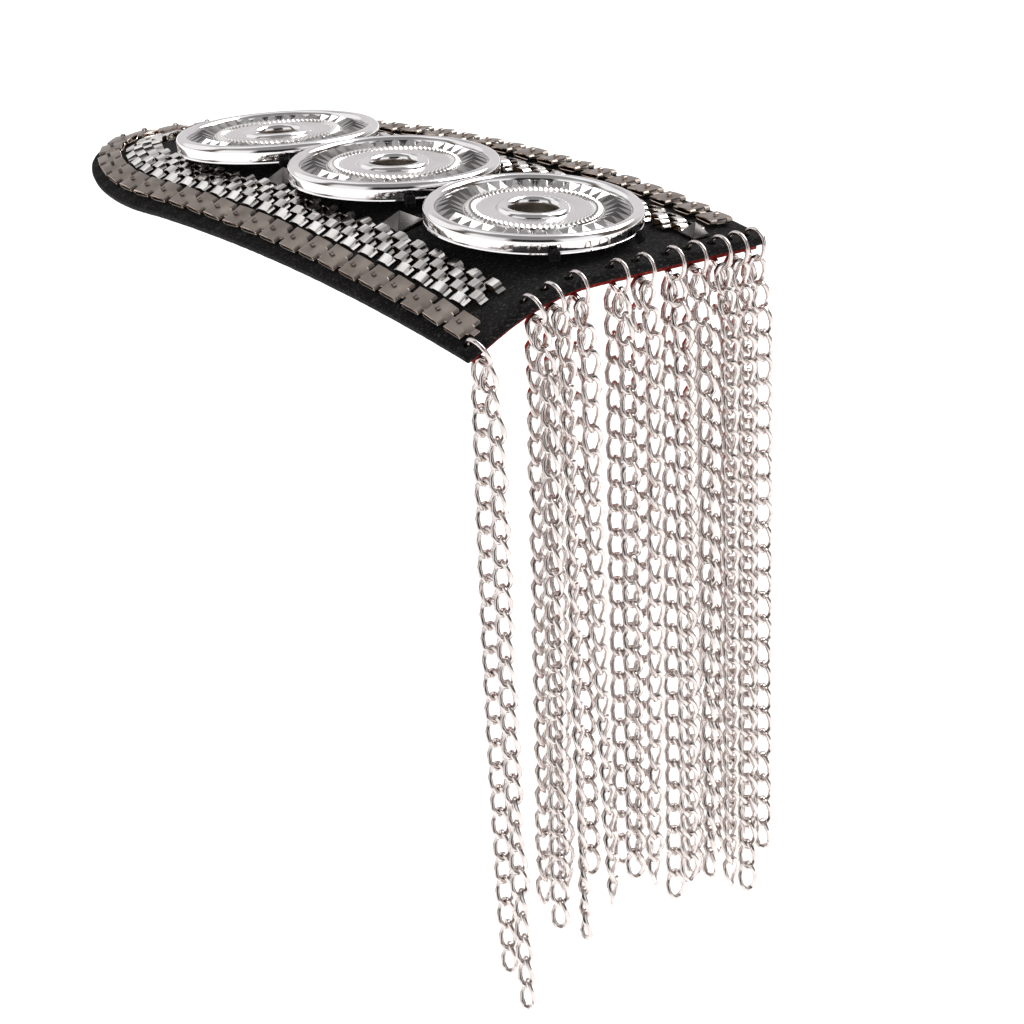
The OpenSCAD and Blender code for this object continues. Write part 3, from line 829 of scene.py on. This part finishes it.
def band_mesh(row):
    """One band of a row: box-shaped above, with a wider foot, and lower towards the edge."""
    low = lay_gap
    mid = (mesh_t + low) * 0.52
    box_l = 1.6 * MM
    flat_l = 1.05 * MM
    foot_l = 2.55 * MM
    ring = [
        (0, mesh_t), (flat_l, mesh_t - 0.08 * MM), (box_l, mid + 0.45 * MM),
        (box_l + 0.1 * MM, mid - 0.2 * MM), (foot_l, low + 0.45 * MM), (foot_l - 0.3 * MM, low),
        (-foot_l + 0.3 * MM, low), (-foot_l, low + 0.45 * MM), (-box_l - 0.1 * MM, mid - 0.2 * MM),
        (-box_l, mid + 0.45 * MM), (-flat_l, mesh_t - 0.08 * MM)]
    bm = bmesh.new()
    edges = add_line(bm, [(x, -row_w * 0.48, z) for x, z in ring], closed=True)[1]
    pull_edges(bm, edges, (0, row_w * 0.96, 0))
    thicken(bm, band_wall)
    # Faces that look into the band's hollow take the darker metal: painted shade.
    for face in bm.faces:
        centre = face.calc_center_median()
        inward = Vector((-centre.x, 0, mid - centre.z))
        if face.normal.dot(inward) > 0 and abs(face.normal.y) < 0.5:
            face.material_index = hollow_shade
    for vert in bm.verts:
        share = 0.5 - (vert.co.y + row_offset(row)) / mesh_w
        fall = slope_fall * share + front_fall * share ** 4
        vert.co.z -= fall * (vert.co.z - low) / (mesh_t - low)
    print("band:", len(bm.faces), "faces")
    return keep_mesh("mesh_band", bm)


# %% Lay the mesh chain
mesh_path = Path(border(mesh_line, mesh_end, mesh_end))
mesh_links = int(mesh_path.length / mesh_pitch)
mesh_step = mesh_path.length / mesh_links
bands = [band_mesh(row) for row in range(mesh_rows)]
brick_shift = (0.78, 0.28)
look_ahead = 0.5 * MM
mesh_draw = random.Random(8)
bm = bmesh.new()
for i in range(mesh_links):
    for row in range(mesh_rows):
        t = (i + brick_shift[row % 2]) * mesh_step
        p = mesh_path.at(t)
        ahead = mesh_path.at(t + look_ahead) - mesh_path.at(t - look_ahead)
        side = Vector((-ahead.y, ahead.x)).normalized()
        spot = p + side * row_offset(row)
        heading = math.atan2(ahead.y, ahead.x) + uneven(mesh_draw, 1.5)
        tilt = Matrix.Rotation(uneven(mesh_draw, 3), 4, "Y")
        stamp(bm, bands[row], seat(spot.x, spot.y, 0, heading) @ tilt)
mesh_chain = finish_piece("mesh_border", bm, mesh_metals, ["mesh_chain"], 20)
print(mesh_links, "by", mesh_rows, "bands,", len(mesh_chain.data.polygons), "faces")

# %% [markdown]
# ## Discs
# The three discs are pressed from bright sheet: a wide rolled rim, a sunk ring of pyramids, a
# milled ring, a satin flat and a rolled collar about the hole. All but the pyramids are turned
# shapes, so their section is drawn once and spun a full turn. The milled ring is spun in four
# steps a flute, and its top is pulled in between one flute and the next.

# %% Disc sizes
disc_d = 44 * MM
disc_gap = 0.6 * MM
disc_h = 3.8 * MM
rim_w = 2.7 * MM
collar_hole_d = 9.7 * MM
collar_w = 2.6 * MM
milled_w = 2.7 * MM
milled_d = 27.8 * MM
pyramid_count = 36
pyramid_h = 1.2 * MM
disc_floor = disc_h - 1.25 * MM
disc_flat = disc_h - 0.9 * MM
disc_seat = mesh_t + lay_gap
disc_metals = [disc_chrome, disc_satin, disc_milled, disc_shade, disc_bore]
satin_part, milled_part, pyramid_part, bore_part = range(1, len(disc_metals))


def arc(centre_r, centre_z, radius, start, end, steps):
    """Points of an arc in the section, by angles in degrees from the outward direction."""
    turns = [math.radians(start + (end - start) * i / steps) for i in range(steps + 1)]
    return [(centre_r + radius * math.cos(t), centre_z + radius * math.sin(t)) for t in turns]


def spin_section(bm, section, steps):
    """Turns a section of (radius, height) points a full turn about Z."""
    verts, edges = add_line(bm, [(r, 0, z) for r, z in section], closed=True)
    spin_round(bm, verts + edges, steps)


# %% Build a disc
def disc_mesh():
    """One disc on z 0, each part in its own metal, the pyramids in a darker one: painted shade."""
    r = disc_d / 2
    rim_r = rim_w / 2
    rim_z = disc_h - rim_r
    collar_r = collar_w / 2
    collar_z = disc_h - 0.2 * MM - collar_r
    collar_at = collar_hole_d / 2 + collar_r
    flat_out = (milled_d - milled_w) / 2 - 0.05 * MM
    foot_r = r - 0.1 * MM
    section = (
        [(foot_r - 1.0 * MM, 0), (foot_r - 0.35 * MM, 0), (foot_r - 0.1 * MM, 0.12 * MM),
         (foot_r - 0.1 * MM, 0.4 * MM), (foot_r - 0.3 * MM, 0.55 * MM), (foot_r - 0.12 * MM, 0.75 * MM),
         (r - 0.04 * MM, rim_z - 0.5 * MM)]
        + arc(r - rim_r, rim_z, rim_r, 0, 200, 14)
        + [(r - rim_w + 0.25 * MM, disc_floor + 0.15 * MM), (r - rim_w, disc_floor),
           (flat_out + 0.6 * MM, disc_floor), (flat_out + 0.1 * MM, disc_flat - 0.3 * MM),
           (flat_out, disc_flat), (collar_at + collar_r + 0.5 * MM, disc_flat),
           (collar_at + collar_r + 0.12 * MM, disc_flat - 0.1 * MM)]
        + arc(collar_at, collar_z, collar_r, 8, 188, 12)
        + [(collar_hole_d / 2 + 0.1 * MM, 0.2 * MM), (collar_hole_d / 2 + 0.9 * MM, 0.2 * MM),
           (collar_at, disc_floor - 0.9 * MM), (r - rim_w - 0.3 * MM, disc_floor - 0.9 * MM)])
    bm = bmesh.new()
    spin_section(bm, section, 120)
    satin_low = collar_at + collar_r + 0.3 * MM
    for face in bm.faces:
        centre = face.calc_center_median()
        radius = math.hypot(centre.x, centre.y)
        if satin_low < radius < flat_out and centre.z > disc_floor + 0.3 * MM:
            face.material_index = satin_part
        if radius < collar_hole_d / 2 + 0.4 * MM and centre.z < collar_z + 0.2 * MM:
            face.material_index = bore_part
    add_milled_ring(bm)
    add_pyramids(bm)
    bmesh.ops.recalc_face_normals(bm, faces=bm.faces[:])
    print("disc:", len(bm.faces), "faces")
    return keep_mesh("disc", bm)


def add_milled_ring(bm, flutes=72, steps_each=4, flute_depth=0.26):
    """A round ring whose top is fluted."""
    tube_r = milled_w / 2
    centre_r = milled_d / 2 - tube_r
    centre_z = disc_h - 0.3 * MM - tube_r
    ring = bmesh.new()
    spin_section(ring, arc(centre_r, centre_z, tube_r, -20, 200, 8), flutes * steps_each)
    for vert in ring.verts:
        turn = math.atan2(vert.co.y, vert.co.x) * flutes
        flat = Vector((vert.co.x, vert.co.y, 0)).normalized() * centre_r
        middle = Vector((flat.x, flat.y, centre_z))
        spoke = vert.co - middle
        up = max(0.0, spoke.z / spoke.length - 0.35) / 0.65
        vert.co = middle + spoke * (1 - flute_depth * up * (1 - math.cos(turn)) / 2)
    for face in ring.faces:
        face.material_index = milled_part
    stamp(bm, keep_mesh("milled_ring", ring), Matrix.Identity(4))


def add_pyramids(bm):
    """The ring of four-sided pyramids between the milled ring and the rim."""
    inner = milled_d / 2 - 0.15 * MM
    outer = disc_d / 2 - rim_w + 0.2 * MM
    step = math.tau / pyramid_count
    base = disc_floor - 0.1 * MM
    one = bmesh.new()
    bmesh.ops.create_cone(one, cap_ends=False, segments=4, radius1=1, radius2=0, depth=1)
    corners = [v for v in one.verts if v.co.z < 0]
    for vert in one.verts:
        vert.co = ((inner + outer) / 2, 0, disc_floor + pyramid_h)
    for vert, (radius, side) in zip(corners, ((inner, -1), (inner, 1), (outer, 1), (outer, -1))):
        vert.co = (radius * math.cos(step / 2), side * radius * math.sin(step / 2), base)
    bmesh.ops.recalc_face_normals(one, faces=one.faces[:])
    # The pyramids take the darker disc metal: painted shade and dark reflections on their sides.
    for face in one.faces:
        face.material_index = pyramid_part
    pyramid = keep_mesh("pyramid", one)
    for i in range(pyramid_count):
        stamp(bm, pyramid, Matrix.Rotation(i * step, 4, "Z"))


# %% Lay the discs
disc = disc_mesh()
disc_step = disc_d + disc_gap
# Its node, its steps along the board, how far it is off the middle line, its knots in degrees
disc_rows = (
    ("disc_neck", -1, 0.9 * MM, (-31,)),
    ("disc_middle", 0, -0.6 * MM, (-28,)),
    ("disc_fringe", 1, 0.7 * MM, (-28, 27)))


def disc_place(step, y):
    """The matrix of a disc: so many steps along the board, and y off its middle line."""
    return seat(step * disc_step, 0, disc_seat) @ Matrix.Translation((0, y, 0))


for turn, (node, step, y, knot_angles) in enumerate(disc_rows):
    bm = bmesh.new()
    stamp(bm, disc, disc_place(step, y) @ Matrix.Rotation(math.radians(turn * 3), 4, "Z"))
    finish_piece(node + "_pressed", bm, disc_metals, [node], 25)
print("three discs", round(disc_d / MM), "mm across")

# %% Thread knots that hold the discs
knot_half = Matrix.Diagonal((0.85 * MM, 0.6 * MM, 1.35 * MM, 1))
knot_spot = Matrix.Translation((disc_d / 2 + 0.85 * MM, 0, 0.2 * MM))
turn_gap = 0.55 * MM
knots = bmesh.new()
knot_places = [
    disc_place(step, y) @ Matrix.Rotation(math.radians(angle), 4, "Z") @ knot_spot
    for _, step, y, knot_angles in disc_rows for angle in knot_angles]
for place in knot_places:
    for turn in (-turn_gap, 0, turn_gap):
        bmesh.ops.create_uvsphere(
            knots, u_segments=12, v_segments=8, radius=1,
            matrix=place @ Matrix.Translation((0, turn, 0)) @ knot_half)
finish_piece("thread_knots", knots, [black_felt], smooth_below=80)
print(len(knot_places), "knots of black thread")

# %% [markdown]
# ## Studs
# The studs are square pyramids on a low foot, fixed through the felt. A cone with four sides
# gives the pyramid, and a small bevel catches the light along its ridges.

# %% Studs
stud_a = 6.6 * MM
stud_h = 3.2 * MM
corner_stud_a = 4.2 * MM
corner_stud_h = 3 * MM
stud_foot = 0.6 * MM
stud_bevel = 0.16 * MM


def stud_mesh(side, height):
    """A square pyramid on a low foot, on z 0."""
    bm = bmesh.new()
    bmesh.ops.create_cone(
        bm, cap_ends=True, segments=4, radius1=side / math.sqrt(2), radius2=0,
        depth=height - stud_foot,
        matrix=Matrix.Translation((0, 0, (height + stud_foot) / 2)) @ Matrix.Rotation(math.pi / 4, 4, "Z"))
    base = [f for f in bm.faces if f.normal.z < -0.9]
    grown = bmesh.ops.extrude_face_region(bm, geom=base)
    bmesh.ops.translate(bm, verts=moved_verts(grown), vec=(0, 0, -stud_foot))
    bmesh.ops.delete(bm, geom=base, context="FACES_ONLY")
    bmesh.ops.recalc_face_normals(bm, faces=bm.faces[:])
    round_edges(bm, bm.edges[:], stud_bevel, segments=2)
    return keep_mesh("stud", bm)


stud_s = disc_step / 2
mesh_inner = mesh_line + mesh_w / 2
stud_room = stud_a / 2 + 2 * lay_gap
corner_s = front_reach - mesh_end + lay_gap + corner_stud_a / 2
# Its node, its place along the board and across it, its side and its height
stud_rows = (
    ("stud_front_neck", -stud_s, front_y(-stud_s, mesh_inner) + stud_room, stud_a, stud_h),
    ("stud_front_fringe", stud_s, front_y(stud_s, mesh_inner) + stud_room, stud_a, stud_h),
    ("stud_back_neck", -stud_s, back_y(-stud_s - stud_a / 2, mesh_inner) - stud_room, stud_a, stud_h),
    ("stud_back_fringe", stud_s, back_y(stud_s, mesh_inner) - stud_room, stud_a, stud_h),
    ("stud_corner", corner_s, back_y(corner_s, mesh_line) - 0.3 * MM, corner_stud_a, corner_stud_h))
for node, s, y, side, height in stud_rows:
    bm = bmesh.new()
    stamp(bm, stud_mesh(side, height), seat(s, y, lay_gap))
    finish_piece(node + "_cast", bm, [stud_metal], [node], 30)
print(len(stud_rows), "studs")

# %% [markdown]
# ## Jump rings and brooch bar
# Both have their true shape in the solid model already, so those nodes stay and only get a
# better finish.

# %% Finish the kept nodes
for node, material in (("jump_rings", chain_silver), ("brooch_bar", pin_steel)):
    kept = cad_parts[node]
    kept.data.materials.clear()
    kept.data.materials.append(material)
print("kept nodes: jump_rings, brooch_bar")

# %% [markdown]
# ## Fringe of curb chain
# A curb chain's links are ovals twisted by nearly a quarter turn, so that each end crosses the
# next link's end and the chain lies flat. One ring of wire is spun, pulled out to an oval and
# twisted. Copies of it are set below each other, each chain with its own slow turn, as hanging
# chains have, and the first link passes round the bottom of its jump ring.

# %% One link
link_wire = 1.12 * MM
link_outer_w = 4.45 * MM
link_pitch = 4.93 * MM
link_twist = math.radians(84)
link_half_l = (link_pitch + link_wire) / 2


def link_mesh(segments=12, sides=6, taper=0.75):
    """One link, standing along Z. With more taper its ends are more pointed."""
    half_w = (link_outer_w - link_wire) / 2
    bm = bmesh.new()
    bmesh.ops.create_circle(
        bm, cap_ends=False, segments=sides, radius=link_wire / 2,
        matrix=Matrix.Translation((half_w, 0, 0)) @ Matrix.Rotation(math.pi / 2, 4, "X"))
    spin_round(bm, bm.verts[:] + bm.edges[:], segments)
    for vert in bm.verts:
        round_part = Vector((vert.co.x, vert.co.y, 0)).normalized()
        pull = math.copysign(abs(round_part.y) ** taper, round_part.y)
        vert.co.y += pull * (link_half_l - half_w)
        vert.co.rotate(Matrix.Rotation(-link_twist / 2 * vert.co.y / link_half_l, 3, "Y"))
    bmesh.ops.rotate(bm, verts=bm.verts[:], cent=(0, 0, 0), matrix=Matrix.Rotation(math.pi / 2, 3, "X"))
    bmesh.ops.recalc_face_normals(bm, faces=bm.faces[:])
    print("link:", len(bm.faces), "faces")
    return keep_mesh("curb_link", bm)


# %% Hang the chains
ring_d = 7.1 * MM
ring_wire = 0.9 * MM
ring_r = (ring_d - ring_wire) / 2
ring_s = front_reach - hole_in + ring_r - 0.3 * MM
ring_h = 0.4 * MM - top_z / 2
strand_pair = 4.5 * MM
strand_side = 0.8 * MM
pair_pull = 1.05 * MM
# Degrees: how far a chain may be turned, its twist from link to link, and each link's own play
chain_turn = 55
chain_twist = 2.4
link_play = 9
# Millimetres: a chain's length, and how far its free end has drifted along and across the board
strand_rows = (
    (133, 1.8, 3), (127, 1.2, 2.4), (124.5, 0, 0), (121, 0, -0.3), (129.7, 0.9, 1.3), (122, 0, 0.5),
    (125, 1.6, 2.6), (120, 0.8, 1), (122, 0, 0), (120.5, 0.4, 0), (125, -0.4, -1.2), (123, 0, -0.5),
    (127, 0.2, 0.3), (133, 0, 0.4), (127.8, 0, 0.4), (129.3, 0, 0), (131.5, 0, -0.2), (126, 0, 0),
    (134, 0, 0), (127, 0, 0.2), (125.5, 0, -0.1), (128, 0, 0))
link = link_mesh()
face_on = 90 + math.degrees(math.atan2(to_camera.y, to_camera.x))


def hang_chain(number, length, drift_x, drift_y):
    """One chain, from the bottom of its jump ring down to its free end."""
    draw = random.Random(100 + number)
    side = -1 if number % 2 else 1
    y = ring_y[number // 2]
    hang = on_felt(ring_s + side * strand_pair / 2, y, ring_h - ring_r)
    top = hang + Vector((0, strand_side, -ring_wire / 2 - lay_gap))
    drop = length + ring_wire / 2 + link_wire / 2 + lay_gap
    links = round((drop - 2 * link_half_l) / link_pitch) + 1
    pitch = (drop - 2 * link_half_l + link_wire / 2) / (links - 1)
    start = top.z + ring_wire / 2 + lay_gap + ring_wire / 2 + link_wire / 2 - link_half_l
    turn = face_on + draw.uniform(-chain_turn, chain_turn)
    rate = draw.uniform(-chain_twist, chain_twist)
    bm = bmesh.new()
    for i in range(links):
        z = start - i * pitch
        t = max(0.0, (top.z - z) / length)
        lean = max(0.0, 1 - i / 2)
        ring_pull = Vector((-side * pair_pull, -strand_side, 0)) * lean
        spot = Vector((top.x + drift_x * t * t, top.y + drift_y * t * t, z)) + ring_pull
        angle = math.radians(turn + rate * i) + uneven(draw, link_play)
        stamp(bm, link, Matrix.Translation(spot) @ Matrix.Rotation(angle, 4, "Z"))
    label = f"{number + 1:02d}"
    finish_piece("fringe_chain_" + label, bm, [chain_silver], ["strand_" + label], 60)
    return links


total = sum(
    hang_chain(number, length * MM, dx * MM, dy * MM)
    for number, (length, dx, dy) in enumerate(strand_rows))
print(total, "links in", len(strand_rows), "chains")
